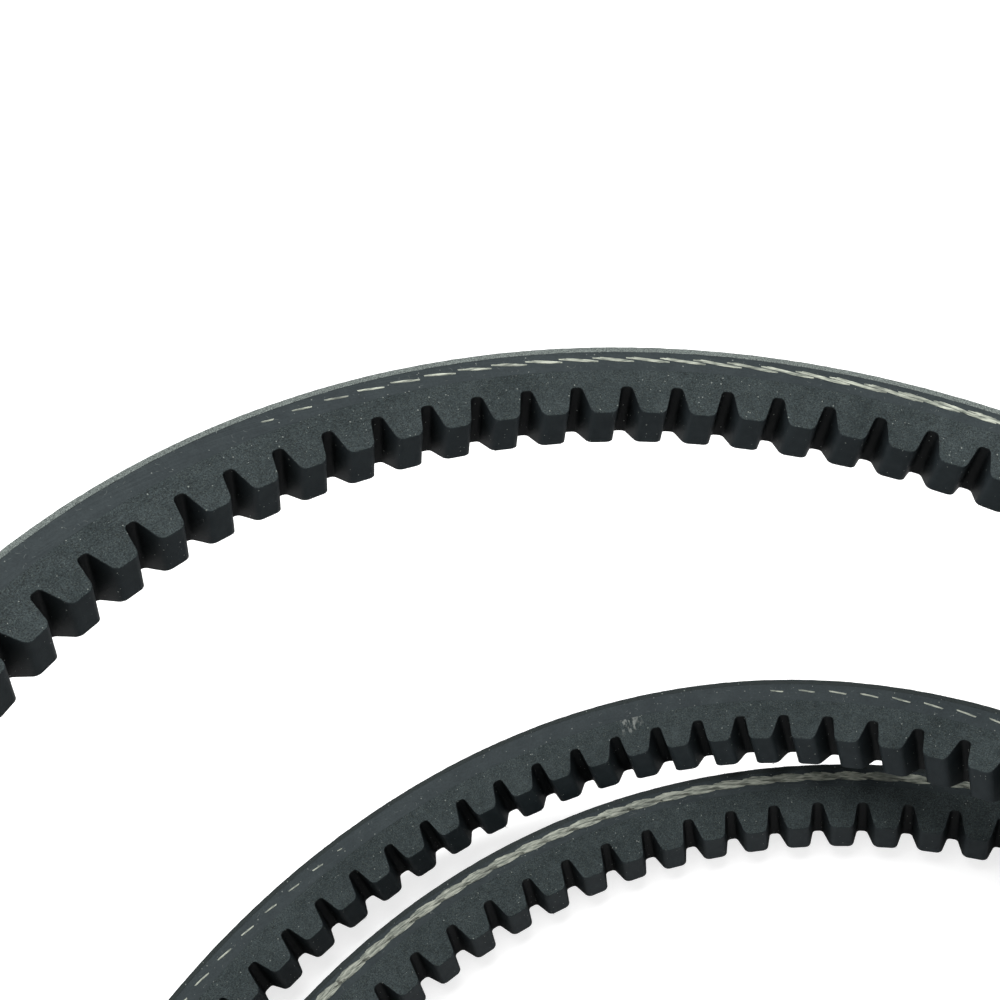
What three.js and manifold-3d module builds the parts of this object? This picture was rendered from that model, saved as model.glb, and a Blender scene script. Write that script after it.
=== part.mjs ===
// Endless raw-edge cogged V-belt, put away as a three-loop coil.
// Millimetres, +Z up. The lowest loop lies on its flank on z = 0, and the
// origin is under the middle of the coil.
import * as THREE from 'three';
import { mergeVertices } from 'three/addons/utils/BufferGeometryUtils.js';
import Module from 'manifold-3d';

const wasm = await Module();
wasm.setup();

// ---- belt section: depths are measured from the back, towards the cogs
const beltWidth = 16.3; // across the back
const beltHeight = 12.5; // back to cog tip
const flankAngle = 20; // degrees, each side of the V
const cogPitch = 9.6; // nominal, evened out to a whole even number of cogs
const cogDepth = 4.9; // cog tip to gap root
const gapRootWidth = 1.9;
const gapMouthWidth = 4.6;

// ---- layers, each parted from the next by layerGap
const layerGap = 0.3;
const fabricThickness = 0.75;
const overcordThickness = 0.35;
const cordThickness = 1.0;
const undercordThickness = 1.2;

// ---- the coil: three loops, each with its own radius, centre, lift and lean
const strandClearance = 1.5; // between strands that cross
const strandPitch = beltWidth + strandClearance; // height that one crossing takes
const loops = [
  // lift and leans are in strand pitches; a lean is the rise at the +X or +Y side
  { radius: 114, x: 6.6, y: 30, lift: 5.21, leanX: -1.4, leanY: 0.7 },
  { radius: 115.6, x: -18.4, y: 15.8, lift: 1.78, leanX: 0.02, leanY: -0.84 },
  { radius: 137.3, x: 10.7, y: -21.5, lift: -0.88, leanX: 0.95, leanY: 0.8 },
];
const settleHeight = 0.235 * strandPitch; // how gently the belt comes down to lie flat

// ---- flex points round the top loop: gaps between cogs, counted from the first
// loop's +X side. Each link between two of them lies opposite the other link and
// matches it in length, so the loop stays closed as it flexes.
const flexGaps = { rightNear: 0, rightFar: 10, leftFar: 40, leftNear: 50 };
const joinGap = 56; // where the moving run meets the resting coil
const flexRelief = 0.45; // each end stands back from its flex point by this much

// ---- the centre line, at the cord's depth
const turn = 2 * Math.PI;
const loopCount = loops.length;
const rad = THREE.MathUtils.degToRad;
const firstFar = rad(30); // curve parameter at the +Y side of the first loop

function coilPoint(u) {
  const angle = loopCount * u;
  const cos = Math.cos(angle);
  const sin = Math.sin(angle);
  let x = 0, y = 0, z = 0, riseX = 0, riseY = 0;
  loops.forEach((loop, i) => {
    const share = (1 + 2 * Math.cos(u - firstFar - (i * turn) / loopCount)) / loopCount;
    const leanX = loop.leanX * strandPitch;
    const leanY = loop.leanY * strandPitch;
    x += share * (loop.x + loop.radius * cos);
    y += share * (loop.y + loop.radius * sin);
    z += share * (loop.lift * strandPitch + leanX * cos + leanY * sin);
    riseX += (share * leanX) / loop.radius;
    riseY += (share * leanY) / loop.radius;
  });
  // the belt can't go through the floor: it settles onto it, flank down
  const floorHeight = beltWidth / 2;
  const k = (z - floorHeight) / settleHeight;
  const free = 1 / (1 + Math.exp(-k));
  const height = floorHeight + settleHeight * Math.log1p(Math.exp(k));
  const up = new THREE.Vector3(-riseX * free, -riseY * free, 1);
  return { point: new THREE.Vector3(x, y, height), up };
}

// arc length along the centre line, by short straight steps
const lengthSteps = 7200;
const lengthTable = [0];
let lastPoint = coilPoint(0).point;
for (let i = 1; i <= lengthSteps; i += 1) {
  const { point } = coilPoint((i * turn) / lengthSteps);
  lengthTable.push(lengthTable[i - 1] + point.distanceTo(lastPoint));
  lastPoint = point;
}
const beltLength = lengthTable[lengthSteps];
const cogCount = 2 * Math.round(beltLength / cogPitch / 2);
const pitch = beltLength / cogCount;

function parameterAt(length) {
  const wrapped = THREE.MathUtils.euclideanModulo(length, beltLength);
  let low = 0;
  let high = lengthSteps;
  while (high - low > 1) {
    const middle = (low + high) >> 1;
    if (lengthTable[middle] <= wrapped) low = middle;
    else high = middle;
  }
  const part = (wrapped - lengthTable[low]) / (lengthTable[high] - lengthTable[low]);
  return ((low + part) * turn) / lengthSteps;
}

// the belt's own frame: along the belt, outwards to its back, and across it
function beltFrame(length) {
  const u = parameterAt(length);
  const { point, up } = coilPoint(u);
  const step = turn / lengthSteps;
  const along = coilPoint(u + step).point.sub(coilPoint(u - step).point).normalize();
  const across = up.addScaledVector(along, -up.dot(along)).normalize();
  const outward = new THREE.Vector3().crossVectors(along, across);
  return { point, along, outward, across };
}

// ---- stations: the sweeps have one at every second gap
const stationStep = 2;

function gapFrame(gap) {
  if (gap % stationStep === 0) return beltFrame(gap * pitch);
  const before = beltFrame((gap - 1) * pitch);
  const after = beltFrame((gap + 1) * pitch);
  const point = before.point.add(after.point).multiplyScalar(0.5);
  const along = before.along.add(after.along).normalize();
  const across = before.across.add(after.across);
  across.addScaledVector(along, -across.dot(along)).normalize();
  const outward = new THREE.Vector3().crossVectors(along, across);
  return { point, along, outward, across };
}

// ---- section outlines, x outwards from the cord and y across the belt
const cordDepth = fabricThickness + overcordThickness + 2 * layerGap + cordThickness / 2;

function halfWidthAt(depth) {
  return beltWidth / 2 - depth * Math.tan(rad(flankAngle));
}

// the wide faces are split across the belt, so that where it twists, the facets of
// one layer stay clear of the next layer's
const acrossSplits = 2;

function layerOutline(top, bottom) {
  const points = [];
  for (const [depth, side] of [[top, 1], [bottom, -1]]) {
    for (let i = 0; i <= acrossSplits; i += 1) {
      const y = side * halfWidthAt(depth) * (1 - (2 * i) / acrossSplits);
      points.push(new THREE.Vector2(cordDepth - depth, y));
    }
  }
  return new THREE.Shape(points);
}

class BeltRun extends THREE.Curve {
  constructor(frames) {
    super();
    this.frames = frames;
  }
  getSpacedPoints() {
    return this.frames.map((frame) => frame.point);
  }
  computeFrenetFrames() {
    return {
      tangents: this.frames.map((frame) => frame.along),
      normals: this.frames.map((frame) => frame.outward),
      binormals: this.frames.map((frame) => frame.across.clone().negate()),
    };
  }
}

function sweep(outline, frames) {
  const extrudePath = new BeltRun(frames);
  return new THREE.ExtrudeGeometry(outline, { steps: frames.length - 1, extrudePath });
}

// ---- joining and cutting
function toSolid(geometry) {
  const bare = geometry.clone();
  bare.deleteAttribute('normal');
  bare.deleteAttribute('uv');
  const merged = mergeVertices(bare);
  const vertProperties = new Float32Array(merged.attributes.position.array);
  const triVerts = new Uint32Array(merged.index.array);
  return new wasm.Manifold(new wasm.Mesh({ numProp: 3, vertProperties, triVerts }));
}

function toGeometry(solid) {
  const { vertProperties, triVerts } = solid.getMesh();
  const geometry = new THREE.BufferGeometry();
  geometry.setAttribute('position', new THREE.BufferAttribute(vertProperties, 3));
  geometry.setIndex(new THREE.BufferAttribute(triVerts, 1));
  geometry.computeVertexNormals();
  return geometry;
}

// a tapered bar that cuts one gap between cogs, right across the belt
function gapCutter(gap) {
  const rootDepth = beltHeight - cogDepth;
  const past = 1; // runs out beyond the cog tips and the flanks
  const wallSlope = (gapMouthWidth - gapRootWidth) / 2 / cogDepth;
  const mouthHalf = gapMouthWidth / 2 + past * wallSlope;
  const outline = new THREE.Shape([
    new THREE.Vector2(-gapRootWidth / 2, cordDepth - rootDepth),
    new THREE.Vector2(gapRootWidth / 2, cordDepth - rootDepth),
    new THREE.Vector2(mouthHalf, cordDepth - beltHeight - past),
    new THREE.Vector2(-mouthHalf, cordDepth - beltHeight - past),
  ]);
  const depth = beltWidth + 2 * past;
  const bar = new THREE.ExtrudeGeometry(outline, { depth, bevelEnabled: false });
  bar.translate(0, 0, -depth / 2);
  const { point, along, outward, across } = gapFrame(gap);
  const axis = across.clone().negate();
  bar.applyMatrix4(new THREE.Matrix4().makeBasis(along, outward, axis).setPosition(point));
  return bar;
}

function coggedBase(top, frames, firstGap, lastGap) {
  let solid = toSolid(sweep(layerOutline(top, beltHeight), frames));
  for (let gap = firstGap; gap <= lastGap; gap += 1) {
    solid = solid.subtract(toSolid(gapCutter(gap)));
  }
  return toGeometry(solid);
}

// ---- materials
const finishes = {
  back_fabric: { color: '#6e7674', roughness: 0.95 },
  overcord_gum: { color: '#33383b', roughness: 0.7 },
  cord_ply: { color: '#cfcbb8', roughness: 0.85 },
  undercord_gum: { color: '#3a4046', roughness: 0.6 },
  cogged_base: { color: '#42494b', roughness: 0.8 },
};

function finish(layer) {
  return new THREE.MeshStandardMaterial({ ...finishes[layer], metalness: 0, flatShading: true });
}

// ---- one run of belt, with its five layers
function beltRun(name, firstGap, lastGap) {
  const frames = [beltFrame(firstGap * pitch + flexRelief)];
  for (let gap = firstGap + stationStep; gap < lastGap; gap += stationStep) {
    frames.push(gapFrame(gap));
  }
  frames.push(beltFrame(lastGap * pitch - flexRelief));

  const run = new THREE.Group();
  const addLayer = (layer, geometry) => {
    const mesh = new THREE.Mesh(geometry, finish(layer));
    mesh.name = `${name}_${layer}`;
    run.add(mesh);
  };
  const sweptLayers = {
    back_fabric: fabricThickness,
    overcord_gum: overcordThickness,
    cord_ply: cordThickness,
    undercord_gum: undercordThickness,
  };
  let depth = 0;
  for (const [layer, thickness] of Object.entries(sweptLayers)) {
    addLayer(layer, sweep(layerOutline(depth, depth + thickness), frames));
    depth += thickness + layerGap;
  }
  addLayer('cogged_base', coggedBase(depth, frames, firstGap, lastGap));
  return run;
}

const belt = new THREE.Group();
const { rightNear, rightFar, leftFar, leftNear } = flexGaps;
belt.add(beltRun('right_link', rightNear, rightFar));
belt.add(beltRun('far_arc', rightFar, leftFar));
belt.add(beltRun('left_link', leftFar, leftNear));
belt.add(beltRun('joining_run', leftNear, joinGap));
belt.add(beltRun('coil', joinGap, rightNear + cogCount));

// the coil is stood with its footprint's middle over the origin
const box = new THREE.Box3().setFromObject(belt);
const middle = box.getCenter(new THREE.Vector3());
belt.position.set(-middle.x, -middle.y, -box.min.z);
belt.userData = { beltLength, cogCount };

export default belt;
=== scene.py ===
import bpy
import bmesh
import math
import numpy as np
from mathutils import Matrix, Vector


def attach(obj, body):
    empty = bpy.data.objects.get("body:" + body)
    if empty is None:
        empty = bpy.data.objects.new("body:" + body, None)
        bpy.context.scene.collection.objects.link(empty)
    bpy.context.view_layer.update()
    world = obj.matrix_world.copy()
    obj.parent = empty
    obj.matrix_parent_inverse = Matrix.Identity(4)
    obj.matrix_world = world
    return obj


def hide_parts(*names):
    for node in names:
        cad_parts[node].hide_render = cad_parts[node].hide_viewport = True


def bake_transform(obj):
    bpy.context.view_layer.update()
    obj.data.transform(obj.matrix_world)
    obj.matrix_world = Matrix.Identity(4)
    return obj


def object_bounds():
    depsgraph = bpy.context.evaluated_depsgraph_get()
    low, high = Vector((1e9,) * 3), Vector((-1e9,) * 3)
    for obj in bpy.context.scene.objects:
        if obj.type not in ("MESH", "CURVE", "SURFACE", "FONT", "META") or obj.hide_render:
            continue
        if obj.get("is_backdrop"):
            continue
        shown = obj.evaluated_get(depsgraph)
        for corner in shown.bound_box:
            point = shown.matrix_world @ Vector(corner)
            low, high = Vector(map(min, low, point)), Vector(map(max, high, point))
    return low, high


# a raw-edge cogged V-belt, put away as a loose coil of three loops
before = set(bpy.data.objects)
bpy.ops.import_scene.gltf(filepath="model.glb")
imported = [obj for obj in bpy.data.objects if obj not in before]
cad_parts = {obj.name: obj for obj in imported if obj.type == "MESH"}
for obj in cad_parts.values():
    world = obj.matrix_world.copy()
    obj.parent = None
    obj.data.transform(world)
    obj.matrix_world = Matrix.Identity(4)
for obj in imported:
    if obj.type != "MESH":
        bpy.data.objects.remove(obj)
cadLow, cadHigh = (np.array(corner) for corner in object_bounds())
print("frame loaded:", len(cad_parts), "nodes")

mm = 0.001


def newObject(name, data):
    made = bpy.data.objects.new(name, data)
    bpy.context.scene.collection.objects.link(made)
    return made


def newMesh(name, places, faces, edges=()):
    mesh = bpy.data.meshes.new(name)
    mesh.from_pydata(places, edges, faces)
    return mesh


# ---- the camera first
shot = {
    "place": (-14.6 * mm, -40.9 * mm, 245.8 * mm),
    "yaw": -0.11,       # degrees to the right of +Y
    "downTilt": 41.18,  # degrees below level
    "roll": -13.04,     # degrees
    "lens": 45.27,      # mm
    "sensor": 36,       # mm across
    "clip": (0.01, 20),
}


def makeCamera():
    data = bpy.data.cameras.new("shotCamera")
    data.lens = shot["lens"]
    data.sensor_width = shot["sensor"]
    data.clip_start, data.clip_end = shot["clip"]
    camera = newObject("shotCamera", data)
    yaw, tilt, roll = (math.radians(shot[key]) for key in ("yaw", "downTilt", "roll"))
    level = math.cos(tilt)
    forward = Vector((math.sin(yaw) * level, math.cos(yaw) * level, -math.sin(tilt)))
    right = Vector((math.cos(yaw), -math.sin(yaw), 0))
    up = right.cross(forward)
    rightRolled = right * math.cos(roll) + up * math.sin(roll)
    upRolled = up * math.cos(roll) - right * math.sin(roll)
    turned = Matrix((rightRolled, upRolled, -forward)).transposed().to_4x4()
    camera.matrix_world = Matrix.Translation(shot["place"]) @ turned
    bpy.context.scene.camera = camera


makeCamera()

# ---- the belt's section; depths run from the back towards the cogs
belt = {
    "width": 16.3 * mm,
    "height": 12.5 * mm,
    "flankSlope": math.tan(math.radians(20)),
    "cordDepth": 2.2 * mm,
    "fabricDepth": 0.88 * mm,
    "gumSplit": 2.2 * mm,  # where the two cushion gums meet, round the cords
    "baseDepth": 4.35 * mm,
    "cogDepth": 4.9 * mm,
    "gapRootWidth": 2.0 * mm,
    "gapMouthWidth": 4.7 * mm,
    "rootRound": 0.85 * mm,
    "tipRound": 1.5 * mm,
    "cogs": 244,
}

# ---- the coil's route: three loops, with lifts and leans in strand pitches
coil = {
    "strandPitch": belt["width"] + 1.5 * mm,
    # radius, x and y in mm, lift, rise at the +X side, rise at the +Y side
    "loops": [
        (114.0, 6.6, 30.0, 5.21, -1.4, 0.7),
        (115.6, -18.4, 15.8, 1.78, 0.02, -0.84),
        (137.3, 10.7, -21.5, -0.88, 0.95, 0.8),
    ],
    "firstFar": math.radians(30),  # the route's turn at the +Y side of the first loop
    "settle": 0.235,      # strand pitches over which the belt comes down to lie flat
    "steps": 14640,
    "sampleStep": 1.2 * mm,
    "spareGaps": 8,       # the route is drawn past its own start by this much
}


def coilPoint(u):
    strandPitch, count = coil["strandPitch"], len(coil["loops"])
    cosine, sine = np.cos(count * u), np.sin(count * u)
    x = y = z = riseX = riseY = 0
    for i, (radius, midX, midY, lift, leanX, leanY) in enumerate(coil["loops"]):
        share = (1 + 2 * np.cos(u - coil["firstFar"] - i * math.tau / count)) / count
        x = x + share * (midX + radius * cosine) * mm
        y = y + share * (midY + radius * sine) * mm
        z = z + share * (lift + leanX * cosine + leanY * sine) * strandPitch
        riseX = riseX + share * leanX * strandPitch / (radius * mm)
        riseY = riseY + share * leanY * strandPitch / (radius * mm)
    # it can't go through the floor: it settles onto it, flank down
    floorHeight = belt["width"] / 2
    settle = coil["settle"] * strandPitch
    k = (z - floorHeight) / settle
    free = 1 / (1 + np.exp(-k))
    height = floorHeight + settle * np.log1p(np.exp(k))
    up = np.stack([-riseX * free, -riseY * free, np.ones_like(u)], 1)
    return np.stack([x, y, height], 1), up


def unit(vectors):
    return vectors / np.linalg.norm(vectors, axis=1)[:, None]


def planRoute():
    places, ups = coilPoint(np.linspace(0, math.tau, coil["steps"] + 1))
    along = np.gradient(places, axis=0)
    along[0] = along[-1] = places[1] - places[-2]
    along = unit(along)
    across = unit(ups - (ups * along).sum(1)[:, None] * along)
    outward = np.cross(along, across)
    steps = np.linalg.norm(np.diff(places, axis=0), axis=1)
    length = np.concatenate([[0], np.cumsum(steps)])
    # the back's edges fill the CAD model's footprint, and the lowest one is on the floor
    back = places + outward * belt["cordDepth"]
    cloud = np.concatenate([back + across * side * belt["width"] / 2 for side in (1, -1)])
    shift = (cadLow + cadHigh) / 2 - (cloud.min(0) + cloud.max(0)) / 2
    shift[2] = cadLow[2] - cloud[:, 2].min()
    return {"length": length, "place": places + shift, "outward": outward, "across": across}


route = planRoute()
beltLength = route["length"][-1]
pitch = float(beltLength / belt["cogs"])
print("route:", round(beltLength / mm, 1), "mm,", belt["cogs"], "cogs at", round(pitch / mm, 3))


def routeAt(lengths, what):
    wrapped = np.mod(lengths, beltLength)
    columns = route[what].T
    return np.stack([np.interp(wrapped, route["length"], column) for column in columns], 1)


# ---- the edge cord's inset from each cut flank: the cord is one long helix, so it comes
# out through a flank once round the belt, first as dashes and then as a solid strip
edgeCord = {
    "plies": 3,
    "lay": 2 * pitch,
    "plyRadius": 0.31 * mm,
    "plyOffset": 0.37 * mm,
    "proud": 0.05 * mm,
    # gap number round the belt, inset in mm
    "topFlank": [
        (0, 0.05), (11, 0.1), (14, 0.16), (18, 0.3), (21, 0.42), (24, 0.52), (27, 0.62),
        (30, 0.8), (34, 1.15), (70, 1.1), (80, 0.6), (87, 0.64), (90, 0.9), (96, 1.1),
        (98, 0.67), (103, 0.62), (107, 0.9), (130, 0.8), (150, 0.3), (165, 0.05),
        (205, 0.0), (244, 0.05),
    ],
    "lowFlank": [(0, 1.1), (60, 0.9), (110, 0.4), (150, 0.7), (200, 1.0), (244, 1.1)],
    # a strand that has been cut through is spread on the flank, as a share of its height
    "spread": [(0, 1.1), (14, 1.0), (140, 1.0), (168, 1.5), (205, 1.5), (225, 1.1), (244, 1.1)],
}


def makeRouteObject():
    # a plain polyline that carries the belt's directions for the node trees
    start = -coil["spareGaps"] * pitch
    stop = beltLength + coil["spareGaps"] * pitch
    count = int((stop - start) / coil["sampleStep"])
    lengths = np.linspace(start, stop, count)
    edges = [(i, i + 1) for i in range(count - 1)]
    mesh = newMesh("beltRoute", routeAt(lengths, "place").tolist(), [], edges)
    gaps = np.mod(lengths, beltLength) / pitch
    tables = (edgeCord[key] for key in ("topFlank", "lowFlank", "spread"))
    top, low, spread = (np.interp(gaps, *zip(*table)) for table in tables)
    facts = {
        "outward": routeAt(lengths, "outward"),
        "across": routeAt(lengths, "across"),
        "cordInset": np.stack([top * mm, low * mm, spread], 1),
    }
    for name, values in facts.items():
        attribute = mesh.attributes.new(name, "FLOAT_VECTOR", "POINT")
        attribute.data.foreach_set("vector", values.astype(np.float32).ravel())
    return newObject("beltRoute", mesh)


routeObject = makeRouteObject()


# ---- small helpers for node trees
def addNode(tree, kind, **settings):
    node = tree.nodes.new(kind)
    for key, value in settings.items():
        setattr(node, key, value)
    return node


def feed(tree, socket, value):
    if isinstance(value, bpy.types.NodeSocket):
        tree.links.new(value, socket)
    elif value is not None:
        socket.default_value = value


def feedAll(tree, node, *values):
    for socket, value in zip(node.inputs, values):
        feed(tree, socket, value)
    return node.outputs[0]


def feedNamed(tree, node, **values):
    for name, value in values.items():
        feed(tree, node.inputs[name], value)
    return node.outputs


def maths(tree, operation, first, second=None, third=None, clamp=False):
    node = addNode(tree, "ShaderNodeMath", operation=operation, use_clamp=clamp)
    return feedAll(tree, node, first, second, third)


def product(tree, first, second):
    return maths(tree, "MULTIPLY", first, second)


def vectorMaths(tree, operation, first, second):
    node = addNode(tree, "ShaderNodeVectorMath", operation=operation)
    feedAll(tree, node, first, second)
    return node.outputs["Value" if operation == "DISTANCE" else "Vector"]


def scaled(tree, vector, factor):
    node = addNode(tree, "ShaderNodeVectorMath", operation="SCALE")
    return feedNamed(tree, node, Vector=vector, Scale=factor)[0]


def inUnitsOf(tree, vector, size):
    return scaled(tree, vector, maths(tree, "DIVIDE", 1.0, size))


def split(tree, vector):
    node = addNode(tree, "ShaderNodeSeparateXYZ")
    feedAll(tree, node, vector)
    return node.outputs


def combine(tree, x, y, z):
    return feedAll(tree, addNode(tree, "ShaderNodeCombineXYZ"), x, y, z)


def rampValue(tree, value, low, high, toLow, toHigh):
    node = addNode(tree, "ShaderNodeMapRange", clamp=True)
    return feedAll(tree, node, value, low, high, toLow, toHigh)


def noiseAt(tree, vector, scale, detail, output="Fac"):
    node = addNode(tree, "ShaderNodeTexNoise")
    return feedNamed(tree, node, Vector=vector, Scale=scale, Detail=detail)[output]


def wanderAt(tree, vector, scale, detail):
    # a vector that strays either way from nothing
    noise = noiseAt(tree, vector, scale, detail, "Color")
    return vectorMaths(tree, "SUBTRACT", noise, (0.5, 0.5, 0.5))


def newTree(name, kind, inputs, outputs):
    tree = bpy.data.node_groups.new(name, kind + "NodeTree")
    sockets = tree.interface
    for label, socketType, default in inputs:
        socket = sockets.new_socket(
            name=label, in_out="INPUT", socket_type="NodeSocket" + socketType)
        if default is not None:
            socket.default_value = default
    for label, socketType in outputs:
        sockets.new_socket(name=label, in_out="OUTPUT", socket_type="NodeSocket" + socketType)
    given = addNode(tree, "NodeGroupInput").outputs
    return tree, given, addNode(tree, "NodeGroupOutput").inputs


# ---- geometry nodes: one pitch of belt repeated, then bent round the coil
toGeometry = [("Geometry", "Geometry")]
treeInputs = [
    ("Block", "Geometry", None), ("Route", "Object", None), ("Route Start", "Float", 0.0),
    ("Pitch", "Float", 0.01), ("First Gap", "Int", 0), ("Gap Count", "Int", 1),
    ("Finish", "Material", None),
]
weldDistance = 0.004 * mm


def placeHere(tree):
    return addNode(tree, "GeometryNodeInputPosition").outputs[0]


def named(tree, name, kind="FLOAT_VECTOR"):
    node = addNode(tree, "GeometryNodeInputNamedAttribute", data_type=kind)
    return feedNamed(tree, node, Name=name)["Attribute"]


def shapeOf(tree, source):
    node = addNode(tree, "GeometryNodeObjectInfo", transform_space="ORIGINAL")
    return feedNamed(tree, node, Object=source)["Geometry"]


def moved(tree, geometry, **where):
    node = addNode(tree, "GeometryNodeSetPosition")
    return feedNamed(tree, node, Geometry=geometry, **where)["Geometry"]


def realised(tree, geometry):
    node = addNode(tree, "GeometryNodeRealizeInstances")
    return feedNamed(tree, node, Geometry=geometry)["Geometry"]


def placed(tree, **given):
    node = addNode(tree, "GeometryNodeInstanceOnPoints")
    return realised(tree, feedNamed(tree, node, **given)["Instances"])


def routeCurve(tree, given):
    node = addNode(tree, "GeometryNodeMeshToCurve")
    return feedNamed(tree, node, Mesh=shapeOf(tree, given["Route"]))["Curve"]


def sampleRoute(tree, given, curve, x, name):
    node = addNode(tree, "GeometryNodeSampleCurve", mode="LENGTH", data_type="FLOAT_VECTOR",
                   use_all_curves=True)
    length = maths(tree, "SUBTRACT", x, given["Route Start"])
    return feedNamed(tree, node, Curves=curve, Value=named(tree, name), Length=length)


def makeBendGroup():
    tree, given, result = newTree(
        "bendToRoute", "Geometry",
        [("Geometry", "Geometry", None), ("Route", "Object", None), ("Route Start", "Float", 0.0)],
        toGeometry)
    curve = routeCurve(tree, given)
    x, y, z = split(tree, placeHere(tree))
    across = sampleRoute(tree, given, curve, x, "across")
    outward = sampleRoute(tree, given, curve, x, "outward")
    place = vectorMaths(tree, "ADD", across["Position"], scaled(tree, across["Value"], y))
    place = vectorMaths(tree, "ADD", place, scaled(tree, outward["Value"], z))
    feed(tree, result["Geometry"], moved(tree, given["Geometry"], Position=place))
    return tree


bendGroup = makeBendGroup()


def repeatBlock(tree, given):
    start = combine(tree, product(tree, given["First Gap"], given["Pitch"]), 0.0, 0.0)
    step = combine(tree, given["Pitch"], 0.0, 0.0)
    line = addNode(tree, "GeometryNodeMeshLine", mode="OFFSET")
    feed(tree, line.inputs["Start Location"], start)
    points = feedNamed(tree, line, Count=given["Gap Count"], Offset=step)["Mesh"]
    return placed(tree, Points=points, Instance=given["Block"])


def welded(tree, geometry):
    node = addNode(tree, "GeometryNodeMergeByDistance")
    return feedNamed(tree, node, Geometry=geometry, Distance=weldDistance)["Geometry"]


def keepPlace(tree, geometry):
    # the unbent place stays on the mesh for the materials
    node = addNode(tree, "GeometryNodeStoreNamedAttribute", data_type="FLOAT_VECTOR",
                   domain="POINT")
    stored = feedNamed(tree, node, Geometry=geometry, Name="beltPlace", Value=placeHere(tree))
    return stored["Geometry"]


def finishTree(tree, given, result, geometry):
    bend = addNode(tree, "GeometryNodeGroup", node_tree=bendGroup)
    where = {label: given[label] for label in ("Route", "Route Start")}
    bent = realised(tree, feedNamed(tree, bend, Geometry=geometry, **where)["Geometry"])
    paint = addNode(tree, "GeometryNodeSetMaterial")
    painted = feedNamed(tree, paint, Geometry=bent, Material=given["Finish"])
    feed(tree, result["Geometry"], painted["Geometry"])
    return tree


def makeLayerTree():
    tree, given, result = newTree(
        "beltLayer", "Geometry",
        treeInputs + [("Unevenness", "Float", 0.0), ("Wave Scale", "Float", 100.0)],
        toGeometry)
    geometry = keepPlace(tree, welded(tree, repeatBlock(tree, given)))
    # nothing cut from rubber is dead true
    wander = wanderAt(tree, placeHere(tree), given["Wave Scale"], 2.0)
    wander = vectorMaths(tree, "MULTIPLY", wander, (0.0, 1.0, 1.0))
    uneven = moved(tree, geometry, Offset=scaled(tree, wander, given["Unevenness"]))
    return finishTree(tree, given, result, uneven)


fray = {
    "lean": 1.0,       # how far a fibre may lean off its face's own direction
    "shortest": 0.35,  # shares of the whole fibre
    "longest": 1.15,
    "sizeSeedStep": 7,
}


def makeFrayTree():
    # short loose fibres that stand out of the faces marked as cut
    tree, given, result = newTree(
        "edgeFray", "Geometry",
        treeInputs + [("Fibre Source", "Object", None), ("Density", "Float", 1.0),
                      ("Seed", "Int", 1)],
        toGeometry)
    scatter = addNode(tree, "GeometryNodeDistributePointsOnFaces", distribute_method="RANDOM")
    points = feedNamed(
        tree, scatter, Mesh=repeatBlock(tree, given), Selection=named(tree, "cutFace", "FLOAT"),
        Density=given["Density"], Seed=given["Seed"])
    lean = addNode(tree, "FunctionNodeRandomValue", data_type="FLOAT_VECTOR")
    lean.inputs[0].default_value = (-fray["lean"],) * 3
    lean.inputs[1].default_value = (fray["lean"],) * 3
    feed(tree, lean.inputs["Seed"], given["Seed"])
    heading = vectorMaths(tree, "ADD", points["Normal"], lean.outputs["Value"])
    turned = addNode(tree, "FunctionNodeAlignRotationToVector", axis="Z")
    rotation = feedNamed(tree, turned, Vector=heading)["Rotation"]
    size = addNode(tree, "FunctionNodeRandomValue", data_type="FLOAT")
    size.inputs[2].default_value = fray["shortest"]
    size.inputs[3].default_value = fray["longest"]
    feed(tree, size.inputs["Seed"], maths(tree, "ADD", given["Seed"], fray["sizeSeedStep"]))
    fibres = placed(tree, Points=points["Points"], Instance=shapeOf(tree, given["Fibre Source"]),
                    Rotation=rotation, Scale=size.outputs[1])
    return finishTree(tree, given, result, keepPlace(tree, fibres))


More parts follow.
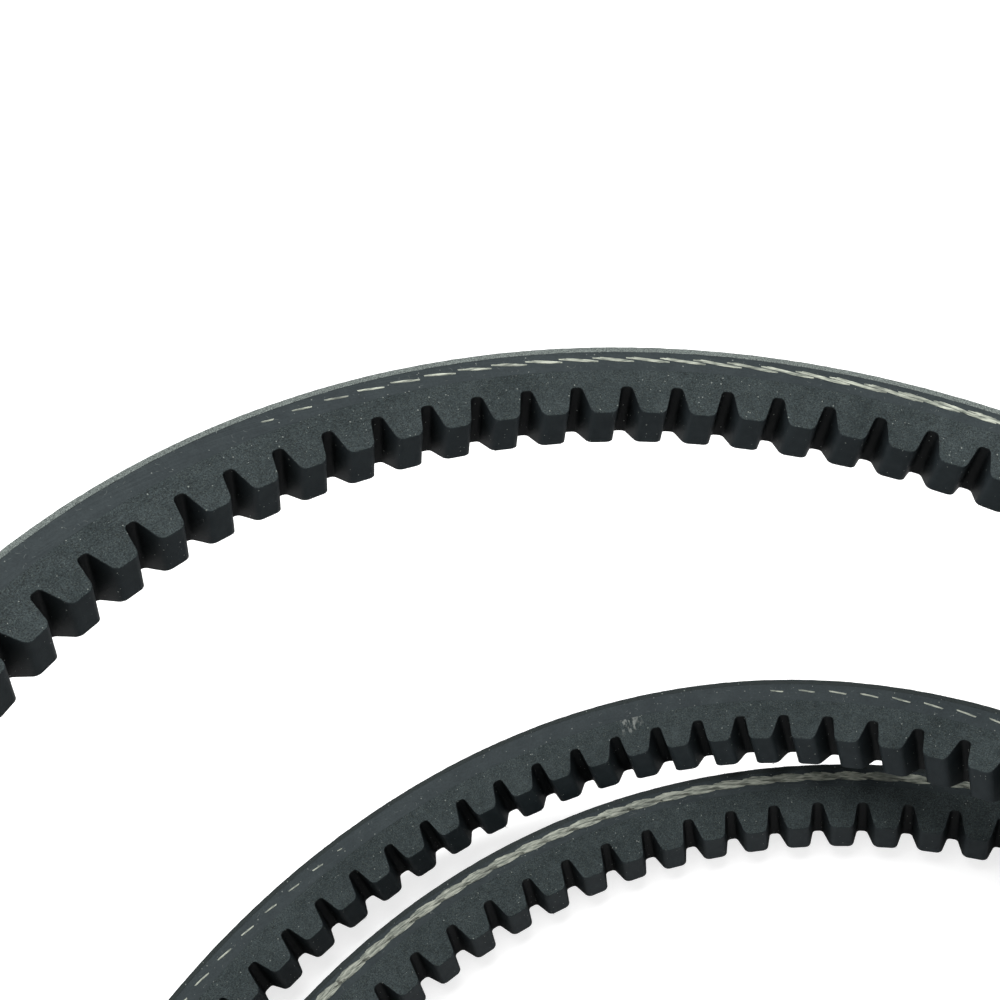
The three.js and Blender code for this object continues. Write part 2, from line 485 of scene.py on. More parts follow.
def makeCordTree():
    # the block is one flat sheet for each ply: x runs along the belt, y once round the ply,
    # and z numbers it. The tree rolls each one up, twists them together and trims them
    # flush with the flank
    tree, given, result = newTree(
        "twistedCord", "Geometry",
        treeInputs + [("Lay", "Float", 0.014), ("Ply Radius", "Float", 0.0004),
                      ("Ply Offset", "Float", 0.0003), ("Half Width", "Float", 0.007),
                      ("Flank Slope", "Float", 0.36), ("Proud", "Float", 0.0),
                      ("Side", "Float", 1.0)],
        toGeometry)
    sheets = welded(tree, repeatBlock(tree, given))
    x, y, z = split(tree, placeHere(tree))
    inset = sampleRoute(tree, given, routeCurve(tree, given), x, "cordInset")["Value"]
    insetTop, insetLow, spread = split(tree, inset)
    isLow = maths(tree, "LESS_THAN", given["Side"], 0.0)
    difference = maths(tree, "SUBTRACT", insetLow, insetTop)
    insetHere = maths(tree, "MULTIPLY_ADD", difference, isLow, insetTop)

    def circle(turns, radius, aroundY, aroundZ):
        angle = product(tree, turns, math.tau)
        cosine, sine = maths(tree, "COSINE", angle), maths(tree, "SINE", angle)
        return (maths(tree, "MULTIPLY_ADD", cosine, radius, aroundY),
                maths(tree, "MULTIPLY_ADD", sine, radius, aroundZ))

    # worked out at the top flank, and turned over at the end
    middle = maths(tree, "SUBTRACT", given["Half Width"], insetHere)
    turns = maths(tree, "ADD", maths(tree, "DIVIDE", x, given["Lay"]),
                  maths(tree, "DIVIDE", z, edgeCord["plies"]))
    plyY, plyZ = circle(turns, given["Ply Offset"], middle, 0.0)
    newY, newZ = circle(y, given["Ply Radius"], plyY, plyZ)
    newZ = product(tree, newZ, spread)
    flank = maths(tree, "MULTIPLY_ADD", newZ, given["Flank Slope"], given["Half Width"])
    newY = maths(tree, "MINIMUM", newY, maths(tree, "ADD", flank, given["Proud"]))
    newY = product(tree, newY, given["Side"])
    twisted = moved(tree, sheets, Position=combine(tree, x, newY, newZ))
    return finishTree(tree, given, result, keepPlace(tree, twisted))


layerTree = makeLayerTree()
frayTree = makeFrayTree()
cordTree = makeCordTree()
print("node trees built")


# ---- straight blocks, one pitch long: x along the belt, y across it, z towards the back
def halfWidthAt(depth):
    return belt["width"] / 2 - depth * belt["flankSlope"]


def heightAt(depth):
    return belt["cordDepth"] - depth


def markCut(mesh, values):
    mesh.attributes.new("cutFace", "FLOAT", "FACE").data.foreach_set("value", values)
    return mesh


def blockFromRings(name, rings, cutFaces=()):
    count = len(rings[0])
    places = [place for ring in rings for place in ring]
    faces, cut = [], []
    for i in range(len(rings) - 1):
        near, far = i * count, (i + 1) * count
        for j in range(count):
            k = (j + 1) % count
            faces.append((near + j, near + k, far + k, far + j))
            cut.append(1.0 if j in cutFaces else 0.0)
    mesh = newMesh(name, places, faces)
    return markCut(mesh, cut) if cutFaces else mesh


def bandRing(x, top, bottom, rows, columns, proud):
    # back edge first, from the top flank to the low one, then round
    ring = []
    for depth, other, sign in ((top, bottom, 1), (bottom, top, -1)):
        half = halfWidthAt(depth) + proud
        for i in range(columns):
            ring.append((x, sign * half * (1 - 2 * i / columns), heightAt(depth)))
        for i in range(rows):
            here = depth + (other - depth) * i / rows
            ring.append((x, -sign * (halfWidthAt(here) + proud), heightAt(here)))
    return ring


def bandBlock(name, top, bottom, stations, rows, columns, proud=0.0):
    rings = [bandRing(pitch * i / stations, top, bottom, rows, columns, proud)
             for i in range(stations + 1)]
    flanks = [side * (columns + rows) + columns + i for side in (0, 1) for i in range(rows)]
    return blockFromRings(name, rings, flanks)


baseShape = {"arcSteps": 5, "brokenEdge": 0.1 * mm, "rows": 3, "columns": 4}


def cogProfile():
    # half of one pitch from the middle of a gap to the middle of a cog, then mirrored
    rootDepth = belt["height"] - belt["cogDepth"]
    rootX, mouthX = belt["gapRootWidth"] / 2, belt["gapMouthWidth"] / 2
    lean = math.atan2(belt["cogDepth"], mouthX - rootX)
    arcs = []
    for x, depth, radius, sign in ((rootX, rootDepth, belt["rootRound"], 1),
                                   (mouthX, belt["height"], belt["tipRound"], -1)):
        centre = np.array((x - sign * radius * math.tan(lean / 2), depth + sign * radius))
        arc = []
        for i in range(baseShape["arcSteps"] + 1):
            share = i / baseShape["arcSteps"]
            turned = lean * (share if sign > 0 else 1 - share)
            arc.append(centre + radius * sign * np.array((math.sin(turned), -math.cos(turned))))
        arcs.append(arc)
    rootArc, tipArc = arcs
    tip = np.array((pitch / 2, belt["height"]))
    half = np.array([np.array((0.0, rootDepth)), *rootArc, (rootArc[-1] + tipArc[0]) / 2,
                     *tipArc, (tipArc[-1] + tip) / 2, tip])
    mirrored = np.stack([pitch - half[-2::-1, 0], half[-2::-1, 1]], 1)
    return np.concatenate([half, mirrored])


def baseBlock():
    profile = cogProfile()
    tangents = np.gradient(profile, axis=0)
    tangents[0] = tangents[-1] = (1, 0)
    tangents = unit(tangents)
    brokenEdge, rows, columns = (baseShape[key] for key in ("brokenEdge", "rows", "columns"))
    top = belt["baseDepth"]
    rings = []
    for (x, depth), (tangentX, tangentDepth) in zip(profile, tangents):
        edgeX, edgeDepth = x + brokenEdge * tangentDepth, depth - brokenEdge * tangentX
        flank = []
        for i in range(rows + 1):
            share = i / rows
            here = top + (edgeDepth - top) * share
            flank.append((x + (edgeX - x) * share, halfWidthAt(here), heightAt(here)))
        half = halfWidthAt(depth) - brokenEdge
        floor = [(x, -half * (1 - 2 * i / columns), heightAt(depth)) for i in range(columns + 1)]
        low = [(px, -py, pz) for px, py, pz in flank]
        rings.append(low + floor + flank[::-1])
    return blockFromRings("baseBlock", rings)


flash = {"size": 0.3 * mm, "aboveTip": 0.15 * mm, "fromCorner": 0.6 * mm}


def flashBlock():
    # small targets at the corners of one cog's tip, where the mould leaves whiskers of rubber
    size, depth = flash["size"], belt["height"] - flash["aboveTip"]
    half, height = halfWidthAt(depth), heightAt(depth)
    cornerX = belt["gapMouthWidth"] / 2 + flash["fromCorner"]
    places, faces = [], []
    for x in (cornerX, pitch - cornerX):
        for side in (1, -1):
            face = [len(places) + i for i in range(4)]
            faces.append(face[::side])
            places += [(x + i * size, side * half, height + j * size)
                       for i, j in ((-1, -1), (1, -1), (1, 1), (-1, 1))]
    return markCut(newMesh("flashBlock", places, faces), [1.0] * len(faces))


def cordBlock(stations=12, rounds=8):
    places, faces = [], []
    for ply in range(edgeCord["plies"]):
        first = len(places)
        for i in range(stations + 1):
            places += [(pitch * i / stations, j / rounds, float(ply)) for j in range(rounds)]
        for i in range(stations):
            for j in range(rounds):
                a, b = first + i * rounds + j, first + i * rounds + (j + 1) % rounds
                faces.append((a, b, b + rounds, a + rounds))
    return newMesh("cordBlock", places, faces)


def fibreObject(name, length, radius, bow, taper=0.75, steps=4, sides=3):
    # one bent, tapering fibre, root at the origin and pointing up
    places, faces = [], []
    for i in range(steps + 1):
        share = i / steps
        for j in range(sides):
            angle = math.tau * j / sides
            thick = radius * (1 - taper * share)
            places.append((bow * share * share + thick * math.cos(angle),
                           thick * math.sin(angle), length * share))
    for i in range(steps):
        for j in range(sides):
            a, b = i * sides + j, i * sides + (j + 1) % sides
            faces.append((a, b, b + sides, a + sides))
    faces += [tuple(range(sides))[::-1], tuple(steps * sides + j for j in range(sides))]
    return newObject(name, newMesh(name, places, faces))


fabricDepth, gumSplit, baseDepth = (belt[key] for key in ("fabricDepth", "gumSplit", "baseDepth"))
# the bands' last numbers: stations along one pitch, rows up a flank and columns across
blocks = {
    "fabric": bandBlock("fabricBlock", 0.0, fabricDepth, 12, 2, 6, proud=0.04 * mm),
    "overcordGum": bandBlock("overcordBlock", fabricDepth, gumSplit, 6, 3, 2),
    "undercordGum": bandBlock("undercordBlock", gumSplit, baseDepth, 6, 3, 2),
    "base": baseBlock(),
    "cord": cordBlock(),
    "flash": flashBlock(),
}
fibreShape = fibreObject("fibre", 0.6 * mm, 0.035 * mm, 0.25 * mm)
whiskerShape = fibreObject("whisker", 1.5 * mm, 0.06 * mm, 0.6 * mm)
print("blocks:", {name: len(mesh.polygons) for name, mesh in blocks.items()})


# ---- shader groups, fed with the unbent place, in metres
mottle = {
    # noise scale, in clouds to one patch, and noise detail
    "broad": (0.35, 3.0), "patch": (2.4, 4.0), "grain": (24.0, 5.0),
    "broadShare": 0.45, "patchShare": 0.55,
}


def makeMottleGroup():
    # cloudy tone at two sizes, and a fine grain
    tree, given, result = newTree(
        "mottle", "Shader", [("Vector", "Vector", None), ("Patch Size", "Float", 0.01)],
        [("Tone", "Float"), ("Grain", "Float")])
    near = inUnitsOf(tree, given["Vector"], given["Patch Size"])
    broad, patch, grain = (noiseAt(tree, near, *mottle[key]) for key in ("broad", "patch", "grain"))
    feed(tree, result["Tone"], maths(tree, "ADD", product(tree, broad, mottle["broadShare"]),
                                     product(tree, patch, mottle["patchShare"])))
    feed(tree, result["Grain"], grain)
    return tree


flecks = {"bow": 0.8, "shortest": 0.3}


def makeFleckGroup():
    # short chopped fibres lying every way on the face: one at most in each cell
    tree, given, result = newTree(
        "fibreFlecks", "Shader",
        [("Vector", "Vector", None), ("Cell Size", "Float", 0.001), ("Length", "Float", 0.35),
         ("Thickness", "Float", 0.05), ("Share", "Float", 0.5), ("Shift", "Float", 0.0)],
        [("Mask", "Float")])
    x, y, z = split(tree, given["Vector"])
    flat = combine(tree, maths(tree, "ADD", x, given["Shift"]), maths(tree, "ADD", y, z), 0.0)
    flat = inUnitsOf(tree, flat, given["Cell Size"])
    cells = addNode(tree, "ShaderNodeTexVoronoi", voronoi_dimensions="2D", feature="F1")
    cell = feedNamed(tree, cells, Vector=flat, Scale=1.0)
    pickTurn, pickKeep, pickLength = split(tree, cell["Color"])
    spin = addNode(tree, "ShaderNodeVectorRotate", rotation_type="Z_AXIS")
    spun = feedNamed(tree, spin, Vector=vectorMaths(tree, "SUBTRACT", flat, cell["Position"]),
                     Angle=product(tree, pickTurn, math.tau))
    u, v, _ = split(tree, spun[0])
    v = maths(tree, "ADD", v, product(tree, product(tree, u, u), flecks["bow"]))
    reach = product(tree, given["Length"], maths(tree, "ADD", pickLength, flecks["shortest"]))
    isAlong = maths(tree, "LESS_THAN", maths(tree, "ABSOLUTE", u), reach)
    off = maths(tree, "DIVIDE", maths(tree, "ABSOLUTE", v), given["Thickness"])
    near = maths(tree, "SUBTRACT", 1.0, off, clamp=True)
    keep = maths(tree, "LESS_THAN", pickKeep, given["Share"])
    feed(tree, result["Mask"], product(tree, product(tree, isAlong, near), keep))
    return tree


flankReach = 0.06 * mm  # how far inside the flank's plane still counts as flank


def makeFlankGroup():
    # 1 on the two cut flanks and 0 on moulded faces, from the unbent place
    tree, given, result = newTree(
        "flankMask", "Shader",
        [("Place", "Vector", None), ("Half Width", "Float", 0.007), ("Slope", "Float", 0.36)],
        [("Flank", "Float")])
    _, y, z = split(tree, given["Place"])
    edge = maths(tree, "MULTIPLY_ADD", z, given["Slope"], given["Half Width"])
    inset = maths(tree, "SUBTRACT", edge, maths(tree, "ABSOLUTE", y))
    feed(tree, result["Flank"], maths(tree, "LESS_THAN", inset, flankReach))
    return tree


cutMarks = {"tilt": 0.09, "stretch": (0.03, 0.0, 1.0), "noise": (1.0, 3.0)}


def makeCutMarkGroup():
    # the knife's faint scoring, long and thin and nearly along the belt
    tree, given, result = newTree(
        "cutMarks", "Shader", [("Vector", "Vector", None), ("Spacing", "Float", 0.0004)],
        [("Lines", "Float")])
    turn = addNode(tree, "ShaderNodeVectorRotate", rotation_type="Y_AXIS")
    tilted = feedNamed(tree, turn, Vector=given["Vector"], Angle=cutMarks["tilt"])[0]
    stretched = vectorMaths(tree, "MULTIPLY", tilted, cutMarks["stretch"])
    near = inUnitsOf(tree, stretched, given["Spacing"])
    feed(tree, result["Lines"], noiseAt(tree, near, *cutMarks["noise"]))
    return tree


weave = {"bias": math.radians(45), "wanderNoise": (900.0, 2.0), "wander": 0.2 * mm, "gap": 0.06}


def makeWeaveGroup():
    # bias-laid plain weave: yarns at an angle to the belt, over and under in turn
    tree, given, result = newTree(
        "biasWeave", "Shader", [("Vector", "Vector", None), ("Yarn Pitch", "Float", 0.0006)],
        [("Height", "Float"), ("Gap", "Float")])
    turn = addNode(tree, "ShaderNodeVectorRotate", rotation_type="Z_AXIS")
    turned = feedNamed(tree, turn, Vector=given["Vector"], Angle=weave["bias"])[0]
    wander = scaled(tree, wanderAt(tree, given["Vector"], *weave["wanderNoise"]), weave["wander"])
    place = vectorMaths(tree, "ADD", turned, wander)
    perYarn = maths(tree, "DIVIDE", math.pi, given["Yarn Pitch"])
    u, v, _ = split(tree, scaled(tree, place, perYarn))
    sineU, sineV = maths(tree, "SINE", u), maths(tree, "SINE", v)
    over = maths(tree, "GREATER_THAN", product(tree, sineU, sineV), 0.0)
    roundU, roundV = maths(tree, "ABSOLUTE", sineU), maths(tree, "ABSOLUTE", sineV)
    under = product(tree, roundV, maths(tree, "SUBTRACT", 1.0, over))
    feed(tree, result["Height"], maths(tree, "ADD", product(tree, roundU, over), under))
    both = product(tree, roundU, roundV)
    feed(tree, result["Gap"], maths(tree, "LESS_THAN", both, weave["gap"]))
    return tree


dust = {"largest": 0.42, "patchNoise": (0.045, 3.0), "patchGain": 2.0}


def makeDustGroup():
    # pale specks of dust, thicker in patches
    tree, given, result = newTree(
        "dust", "Shader",
        [("Vector", "Vector", None), ("Speck Size", "Float", 0.0004), ("Share", "Float", 0.1)],
        [("Mask", "Float")])
    near = inUnitsOf(tree, given["Vector"], given["Speck Size"])
    cells = addNode(tree, "ShaderNodeTexVoronoi", voronoi_dimensions="3D", feature="F1")
    cell = feedNamed(tree, cells, Vector=near, Scale=1.0)
    pick, size, _ = split(tree, cell["Color"])
    speck = maths(tree, "LESS_THAN", cell["Distance"], product(tree, size, dust["largest"]))
    patches = product(tree, noiseAt(tree, near, *dust["patchNoise"]), dust["patchGain"])
    keep = maths(tree, "LESS_THAN", pick, product(tree, given["Share"], patches))
    feed(tree, result["Mask"], product(tree, speck, keep))
    return tree


scuffs = {"grain": (1400.0, 1400.0, 500.0), "noise": (1.0, 3.0), "broken": (0.5, 0.62, 0.0, 1.0)}


def makeScuffGroup():
    # one chalky rub, broken up by the surface's own grain
    tree, given, result = newTree(
        "scuff", "Shader",
        [("Vector", "Vector", None), ("Centre", "Vector", None), ("Reach", "Float", 0.003)],
        [("Mask", "Float")])
    away = vectorMaths(tree, "DISTANCE", given["Vector"], given["Centre"])
    near = maths(tree, "SUBTRACT", 1.0, maths(tree, "DIVIDE", away, given["Reach"]), clamp=True)
    streaks = vectorMaths(tree, "MULTIPLY", given["Vector"], scuffs["grain"])
    broken = rampValue(tree, noiseAt(tree, streaks, *scuffs["noise"]), *scuffs["broken"])
    feed(tree, result["Mask"], product(tree, broken, near))
    return tree


groups = {
    "mottle": makeMottleGroup(), "flecks": makeFleckGroup(), "flank": makeFlankGroup(),
    "cutMarks": makeCutMarkGroup(), "weave": makeWeaveGroup(), "dust": makeDustGroup(),
    "scuff": makeScuffGroup(),
}


# ---- materials
def useGroup(tree, groupName, place, settings):
    node = addNode(tree, "ShaderNodeGroup", node_tree=groups[groupName])
    feed(tree, node.inputs[0], place)
    return feedNamed(tree, node, **settings)


def onFlank(tree, place):
    settings = {"Half Width": halfWidthAt(belt["cordDepth"]), "Slope": belt["flankSlope"]}
    return useGroup(tree, "flank", place, settings)["Flank"]


def mixColour(tree, amount, first, second, blend="MIX"):
    node = addNode(tree, "ShaderNodeMix", data_type="RGBA", blend_type=blend)
    for i, value in ((0, amount), (6, first), (7, second)):
        feed(tree, node.inputs[i], value)
    return node.outputs[2]


def linear(value):
    value /= 255
    return value / 12.92 if value <= 0.04045 else ((value + 0.055) / 1.055) ** 2.4


def shade(red, green, blue):
    # display colour, 0-255, to linear
    return (linear(red), linear(green), linear(blue), 1.0)


def between(tree, amount, look, first, second):
    return mixColour(tree, amount, shade(*look[first]), shade(*look[second]))


def tint(tree, colour, mask, strength, paint):
    return mixColour(tree, product(tree, mask, strength), colour, shade(*paint))


def dim(tree, colour, factor):
    # darker by a factor under 1, or lighter by one over it
    return mixColour(tree, 1.0, colour, combine(tree, factor, factor, factor), "MULTIPLY")


def dusted(tree, colour, place, look):
    strength, settings = look["specks"]
    mask = useGroup(tree, "dust", place, settings)["Mask"]
    return tint(tree, colour, mask, strength, look["dust"])


def newMaterial(name, look):
    material = bpy.data.materials.new(name)
    material.use_nodes = True
    tree = material.node_tree
    shader = tree.nodes["Principled BSDF"].inputs
    shader["Roughness"].default_value = look["roughness"]
    shader["Specular IOR Level"].default_value = look["specular"]
    place = addNode(tree, "ShaderNodeAttribute", attribute_type="GEOMETRY",
                    attribute_name="beltPlace")
    return material, tree, shader, place.outputs["Vector"]


def feedShader(tree, shader, look, colour, height):
    feed(tree, shader["Base Color"], colour)
    bump = addNode(tree, "ShaderNodeBump")
    normal = feedNamed(tree, bump, Strength=1.0, Distance=look["bump"], Height=height)[0]
    feed(tree, shader["Normal"], normal)


scuffDepth = 5.4 * mm
rubberLook = {
    "flankDark": (34, 42, 43), "flankLight": (52, 60, 61),
    "moulded": (24, 31, 34), "mouldedLight": (35, 42, 45),
    "fleck": (108, 118, 111), "fleckDark": (20, 23, 25),
    "dust": (150, 156, 150), "chalk": (132, 136, 132),
    "roughness": 0.78, "specular": 0.2, "mouldedRoughness": 0.56,
    "mottle": {"Patch Size": 0.006},
    "tone": (0.32, 0.68, 0.0, 1.0),     # each ramp goes from two values to two others
    "grain": (0.34, 0.68, 0.45, 1.62),
    # paint, strength and settings; the last are the long ones, which also stand up
    "fleckKinds": [
        ("fleckDark", 0.6, {"Cell Size": 0.0008, "Length": 0.4, "Thickness": 0.09, "Share": 0.5,
                            "Shift": 0.71}),
        ("fleck", 0.4, {"Cell Size": 0.00055, "Length": 0.34, "Thickness": 0.11, "Share": 0.42,
                        "Shift": 0.37}),
        ("fleck", 0.5, {"Cell Size": 0.0011, "Length": 0.5, "Thickness": 0.055, "Share": 0.5}),
    ],
    "gapShadeRamp": (0.12, 0.29, 0.3, 1.35),  # from the gap's middle, in pitches, to a factor: painted shade in the gaps
    "specks": (0.6, {"Speck Size": 0.00035, "Share": 0.035}),
    "scuff": {"Centre": (90.6 * pitch, halfWidthAt(scuffDepth), heightAt(scuffDepth)),
              "Reach": 0.0034},
    "marks": {"Spacing": 0.0005}, "markHeight": 0.7, "fleckHeight": 0.8,
    "mouldedBump": 0.15, "bump": 0.12 * mm,
}


def makeBaseMaterial():
    look = rubberLook
    material, tree, shader, place = newMaterial("cogRubber", look)
    flank = onFlank(tree, place)
    mottled = useGroup(tree, "mottle", place, look["mottle"])
    tone = rampValue(tree, mottled["Tone"], *look["tone"])
    cut = between(tree, tone, look, "flankDark", "flankLight")
    cut = dim(tree, cut, rampValue(tree, mottled["Grain"], *look["grain"]))
    for paint, strength, settings in look["fleckKinds"]:
        fibres = useGroup(tree, "flecks", place, settings)["Mask"]
        cut = tint(tree, cut, fibres, strength, look[paint])
    moulded = between(tree, tone, look, "moulded", "mouldedLight")
    # painted shade: the moulded faces are much darker in the gaps, where shade falls, and lighter
    # towards the cogs' tips
    turns = maths(tree, "DIVIDE", split(tree, place)[0], pitch)
    fromGap = maths(tree, "ABSOLUTE", maths(tree, "SUBTRACT", turns, maths(tree, "ROUND", turns)))
    moulded = dim(tree, moulded, rampValue(tree, fromGap, *look["gapShadeRamp"]))
    colour = dusted(tree, mixColour(tree, flank, moulded, cut), place, look)
    scuff = useGroup(tree, "scuff", place, look["scuff"])["Mask"]
    colour = mixColour(tree, scuff, colour, shade(*look["chalk"]))
    low = look["mouldedRoughness"]
    roughness = maths(tree, "MULTIPLY_ADD", flank, look["roughness"] - low, low)
    feed(tree, shader["Roughness"], roughness)
    marks = useGroup(tree, "cutMarks", place, look["marks"])["Lines"]
    height = maths(tree, "ADD", mottled["Grain"], product(tree, marks, look["markHeight"]))
    height = maths(tree, "ADD", height, product(tree, fibres, look["fleckHeight"]))
    share = maths(tree, "MULTIPLY_ADD", flank, 1 - look["mouldedBump"], look["mouldedBump"])
    feedShader(tree, shader, look, colour, product(tree, height, share))
    return material


gumLook = {
    "dark": (32, 40, 43), "light": (47, 55, 57), "fleck": (110, 117, 114), "dust": (150, 156, 150),
    "roughness": 0.68, "specular": 0.22,
    "mottle": {"Patch Size": 0.009},
    "tone": (0.3, 0.7, 0.0, 1.0),
    "grain": (0.3, 0.7, 0.82, 1.16),
    "flecks": {"Cell Size": 0.0013, "Length": 0.3, "Thickness": 0.05, "Share": 0.2},
    "fleckStrength": 0.5,
    "specks": (0.5, {"Speck Size": 0.00035, "Share": 0.03}),
    "marks": {"Spacing": 0.0004}, "grainHeight": 0.4, "bump": 0.07 * mm,
}


def makeGumMaterial():
    look = gumLook
    material, tree, shader, place = newMaterial("cushionGum", look)
    mottled = useGroup(tree, "mottle", place, look["mottle"])
    colour = between(tree, rampValue(tree, mottled["Tone"], *look["tone"]), look, "dark", "light")
    colour = dim(tree, colour, rampValue(tree, mottled["Grain"], *look["grain"]))
    fibres = useGroup(tree, "flecks", place, look["flecks"])["Mask"]
    colour = tint(tree, colour, fibres, look["fleckStrength"], look["fleck"])
    marks = useGroup(tree, "cutMarks", place, look["marks"])["Lines"]
    height = maths(tree, "ADD", product(tree, mottled["Grain"], look["grainHeight"]), marks)
    feedShader(tree, shader, look, dusted(tree, colour, place, look), height)
    return material


fabricLook = {
    "edge": (134, 142, 138), "edgeDark": (58, 65, 65), "wornEdge": (46, 52, 52),
    "back": (64, 70, 70), "backGap": (22, 25, 27),
    "loose": (136, 144, 139), "dust": (136, 144, 139),
    "roughness": 0.92, "specular": 0.2,
    "wornFrom": (50.0, 75.0, 0.0, 1.0), "wornTo": (200.0, 230.0, 1.0, 0.0),  # gap numbers
    "looseNoise": (700.0, 2.0),
    "mottle": {"Patch Size": 0.004},
    "tone": (0.32, 0.66, 0.0, 1.0),
    "weave": {"Yarn Pitch": 0.00075}, "weaveHollowShade": (0.1, 1.0, 0.6, 1.15),
    "specks": (0.5, {"Speck Size": 0.0004, "Share": 0.06}),
    "bump": 0.18 * mm,
}


def makeFabricMaterial(name, isLoose):
    look = fabricLook
    material, tree, shader, place = newMaterial(name, look)
    # the nap stands up pale round the top loop, and lies flat and dark on the other two
    gap = maths(tree, "DIVIDE", split(tree, place)[0], pitch)
    worn = product(tree, *(rampValue(tree, gap, *look[key]) for key in ("wornFrom", "wornTo")))
    if isLoose:
        fibre = between(tree, noiseAt(tree, place, *look["looseNoise"]), look, "edge", "loose")
        feed(tree, shader["Base Color"], mixColour(tree, worn, fibre, shade(*look["wornEdge"])))
        return material
    grain = useGroup(tree, "mottle", place, look["mottle"])["Grain"]
    edge = between(tree, rampValue(tree, grain, *look["tone"]), look, "edgeDark", "edge")
    edge = mixColour(tree, worn, edge, shade(*look["wornEdge"]))
    woven = useGroup(tree, "weave", place, look["weave"])
    back = between(tree, woven["Gap"], look, "back", "backGap")
    # painted shade: the weave is darker where its yarns dip under, and lighter on their crowns
    back = dim(tree, back, rampValue(tree, woven["Height"], *look["weaveHollowShade"]))
    isCut = onFlank(tree, place)
    colour = dusted(tree, mixColour(tree, isCut, back, edge), place, look)
    heights = (combine(tree, height, 0.0, 0.0) for height in (woven["Height"], grain))
    feedShader(tree, shader, look, colour, split(tree, mixColour(tree, isCut, *heights))[0])
    return material


cordLook = {
    "light": (186, 190, 176), "dark": (104, 110, 102), "stain": (70, 75, 71),
    "roughness": 0.8, "specular": 0.25,
    "fibre": (500.0, 3500.0, 3500.0), "fibreNoise": (1.0, 3.0), "fibreTone": (0.35, 0.65, 0.0, 1.0),
    "patchNoise": (160.0, 3.0), "patchStain": (0.52, 0.72, 0.0, 0.7),
    "darkerPastGap130": (130 * pitch, 170 * pitch, 0.0, 0.28), "bump": 0.12 * mm,
}


def makeCordMaterial():
    look = cordLook
    material, tree, shader, place = newMaterial("tensileCord", look)
    fine = vectorMaths(tree, "MULTIPLY", place, look["fibre"])
    strands = noiseAt(tree, fine, *look["fibreNoise"])
    colour = between(tree, rampValue(tree, strands, *look["fibreTone"]), look, "dark", "light")
    patches = noiseAt(tree, place, *look["patchNoise"])
    # stained in patches, and darker from gap 130 onwards
    for source, ramp in ((patches, "patchStain"), (split(tree, place)[0], "darkerPastGap130")):
        amount = rampValue(tree, source, *look[ramp])
        colour = mixColour(tree, amount, colour, shade(*look["stain"]))
    feedShader(tree, shader, look, colour, strands)
    return material


finishes = {
    "fabric": makeFabricMaterial("backFabric", False),
    "fray": makeFabricMaterial("looseFibre", True),
    "gum": makeGumMaterial(),
    "base": makeBaseMaterial(),
    "cord": makeCordMaterial(),
}
print("materials made")


# ---- the pieces: each stretch of the belt, in each of its layers
# first gap, last gap, what it follows, and the gap that it bends about
spans = {
    "coil": (56, 240, ("coil",), None),
    "rightNearBend": (-4, 5, ("coil", "right_link"), 0),
    "rightFarBend": (5, 15, ("right_link", "far_arc"), 10),
    "farArc": (15, 36, ("far_arc",), None),
    "leftFarBend": (36, 45, ("far_arc", "left_link"), 40),
    "leftNearBend": (45, 56, ("left_link", "joining_run"), 50),
}
# the CAD model's run that each stretch stands for
standsFor = {
    "coil": "coil", "rightNearBend": "right_link", "farArc": "far_arc",
    "leftFarBend": "left_link", "leftNearBend": "joining_run",
}

cordSettings = {
    "Lay": edgeCord["lay"], "Ply Radius": edgeCord["plyRadius"],
    "Ply Offset": edgeCord["plyOffset"], "Half Width": halfWidthAt(belt["cordDepth"]),
    "Flank Slope": belt["flankSlope"], "Proud": edgeCord["proud"],
}
fabricSettings = {"Unevenness": 0.2 * mm, "Wave Scale": 700.0}
gumSettings = {"Unevenness": 0.03 * mm, "Wave Scale": 240.0}
baseSettings = {"Unevenness": 0.09 * mm, "Wave Scale": 260.0}
fraySettings = {"Fibre Source": fibreShape, "Density": 1.8e6, "Seed": 11}
flashSettings = {"Fibre Source": whiskerShape, "Density": 0.8e6, "Seed": 5}
# block, tree, finish, slot, whether it replaces the CAD layer, settings, smoothing in degrees
layers = {
    "Fabric": ("fabric", layerTree, "fabric", "back_fabric", True, fabricSettings, 50),
    "Fray": ("fabric", frayTree, "fray", "back_fabric", False, fraySettings, 60),
    "OvercordGum": ("overcordGum", layerTree, "gum", "overcord_gum", True, gumSettings, 30),
    "CordUpper": ("cord", cordTree, "cord", "cord_ply", True, {**cordSettings, "Side": 1.0}, 60),
    "CordLower": ("cord", cordTree, "cord", "cord_ply", False, {**cordSettings, "Side": -1.0}, 60),
    "UndercordGum": ("undercordGum", layerTree, "gum", "undercord_gum", True, gumSettings, 30),
    "CogBase": ("base", layerTree, "base", "cogged_base", True, baseSettings, 32),
    "Flash": ("flash", frayTree, "base", "cogged_base", False, flashSettings, 60),
}


def grow(name, block, tree, settings):
    source = newObject(name + "Source", block)
    modifier = source.modifiers.new("grow", "NODES")
    modifier.node_group = tree
    known = {item.name: item.identifier for item in tree.interface.items_tree
             if item.in_out == "INPUT"}
    for label, value in settings.items():
        modifier[known[label]] = value
    source.update_tag()
    bpy.context.view_layer.update()
    graph = bpy.context.evaluated_depsgraph_get()
    mesh = bpy.data.meshes.new_from_object(
        source.evaluated_get(graph), preserve_all_data_layers=True, depsgraph=graph)
    bpy.data.objects.remove(source)
    mesh.name = name
    return mesh


def closeMesh(mesh, smoothAngle):
    bm = bmesh.new()
    bm.from_mesh(mesh)
    rim = [edge for edge in bm.edges if edge.is_boundary]
    if rim:
        bmesh.ops.holes_fill(bm, edges=rim, sides=0)
    if bm.calc_volume(signed=True) < 0:
        bmesh.ops.reverse_faces(bm, faces=bm.faces)
    bm.to_mesh(mesh)
    bm.free()
    mesh.shade_smooth()
    mesh.set_sharp_from_angle(angle=math.radians(smoothAngle))


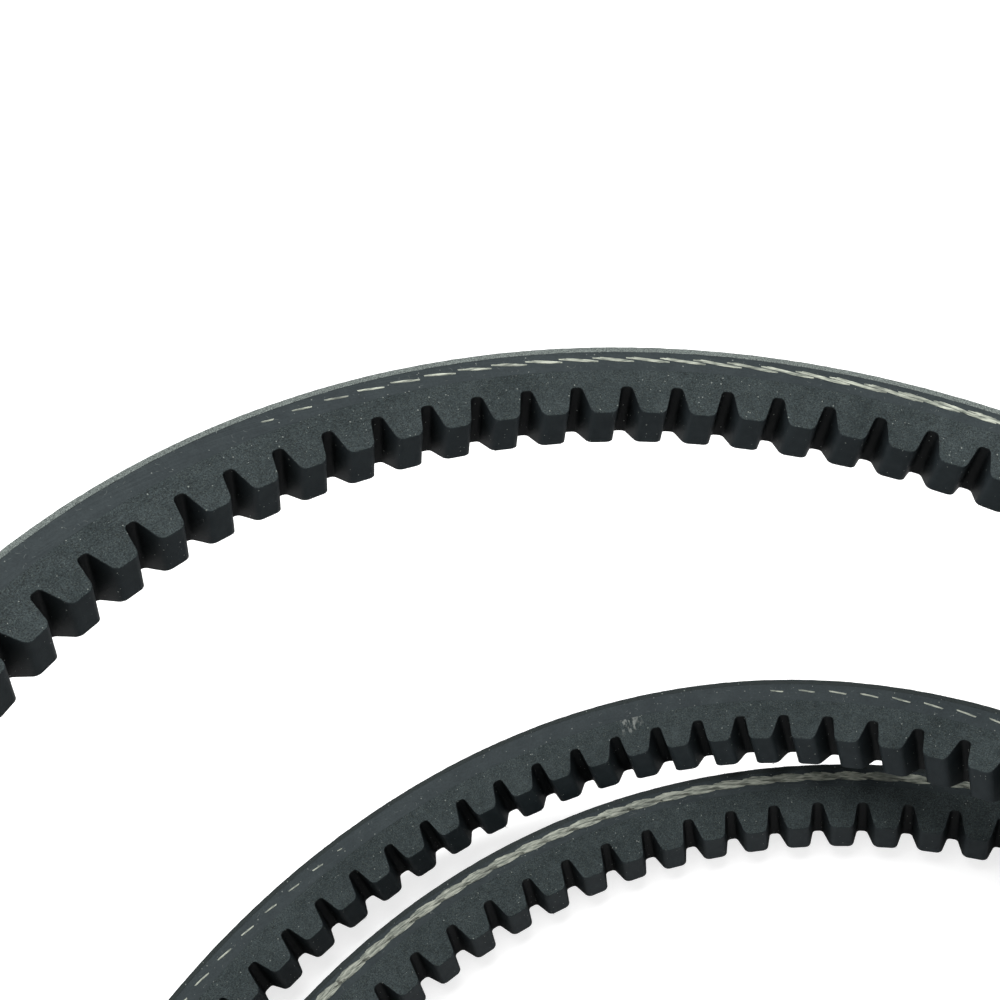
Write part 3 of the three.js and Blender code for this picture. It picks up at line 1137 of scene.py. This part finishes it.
def makePiece(spanName, layerName):
    first, last, bodies, bendGap = spans[spanName]
    block, tree, finish, slotName, replacesLayer, settings, smoothAngle = layers[layerName]
    name = spanName + layerName
    mesh = grow(name, blocks[block], tree, {
        "Route": routeObject, "Route Start": -coil["spareGaps"] * pitch, "Pitch": pitch,
        "First Gap": first, "Gap Count": last - first, "Finish": finishes[finish], **settings})
    # the tree leaves an empty slot in front of its finish
    mesh.polygons.foreach_set("material_index", [0] * len(mesh.polygons))
    mesh.materials.clear()
    mesh.materials.append(finishes[finish])
    closeMesh(mesh, smoothAngle)
    piece = newObject(name, mesh)
    if bendGap is None:
        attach(piece, bodies[0])
    else:
        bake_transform(piece)
    if replacesLayer and spanName in standsFor:
        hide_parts(standsFor[spanName] + "_" + slotName)
    return len(mesh.polygons)


for spanName in spans:
    counts = [makePiece(spanName, layerName) for layerName in layers]
    print("span", spanName, "faces", counts)
for helper in (routeObject, fibreShape, whiskerShape):
    bpy.data.objects.remove(helper)

# ---- the floor and the light
studio = {
    "floorSize": 24.0, "drop": 0.3 * mm,
    "floor": {"Base Color": (0.5, 0.5, 0.5, 1), "Roughness": 0.9, "Specular IOR Level": 0.1,
              "Emission Color": (1, 1, 1, 1)},
    "floorGlow": 0.75, "skyColour": (1, 1, 1, 1), "skyStrength": 0.3,
    # place, size, power in watts
    "lamps": [((-0.1, 0.35, 1.0), 1.0, 17.0), ((0.7, -0.5, 0.9), 0.9, 2.0),
              ((-0.8, -0.3, 0.8), 0.8, 2.0)],
    "lampAim": (0, 0, 0.05),
}


def cameraOnly(tree, extra, base):
    # base to everything, and this much extra to the camera's own rays
    seen = addNode(tree, "ShaderNodeLightPath").outputs["Is Camera Ray"]
    return maths(tree, "MULTIPLY_ADD", seen, extra, base)


def makeStudio():
    bpy.ops.mesh.primitive_plane_add(size=studio["floorSize"], location=(0, 0, -studio["drop"]))
    floor = bpy.context.object
    floor.name = "studioFloor"
    floor.data.transform(floor.matrix_world)
    floor.matrix_world = Matrix.Identity(4)
    material = bpy.data.materials.new("paleFloor")
    material.use_nodes = True
    tree = material.node_tree
    shader = tree.nodes["Principled BSDF"]
    feedNamed(tree, shader, **studio["floor"])
    # a paper sweep lit from below: the glow is for the camera, and lights nothing
    feed(tree, shader.inputs["Emission Strength"], cameraOnly(tree, studio["floorGlow"], 0.0))
    floor.data.materials.append(material)
    floor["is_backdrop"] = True
    bpy.context.scene.view_settings.view_transform = "Standard"
    world = bpy.data.worlds.new("studioSky")
    world.use_nodes = True
    tree = world.node_tree
    # a white wall to the camera, and a dim one to everything else
    strength = cameraOnly(tree, 1 - studio["skyStrength"], studio["skyStrength"])
    feedNamed(tree, tree.nodes["Background"], Color=studio["skyColour"], Strength=strength)
    bpy.context.scene.world = world
    for i, (place, size, power) in enumerate(studio["lamps"]):
        light = bpy.data.lights.new(f"softLamp{i}", "AREA")
        light.size = size
        light.energy = power
        lamp = newObject(f"softLamp{i}", light)
        lamp.location = place
        aim = Vector(studio["lampAim"]) - Vector(place)
        lamp.rotation_euler = aim.to_track_quat("-Z", "Y").to_euler()


makeStudio()
print("floor and lights placed")
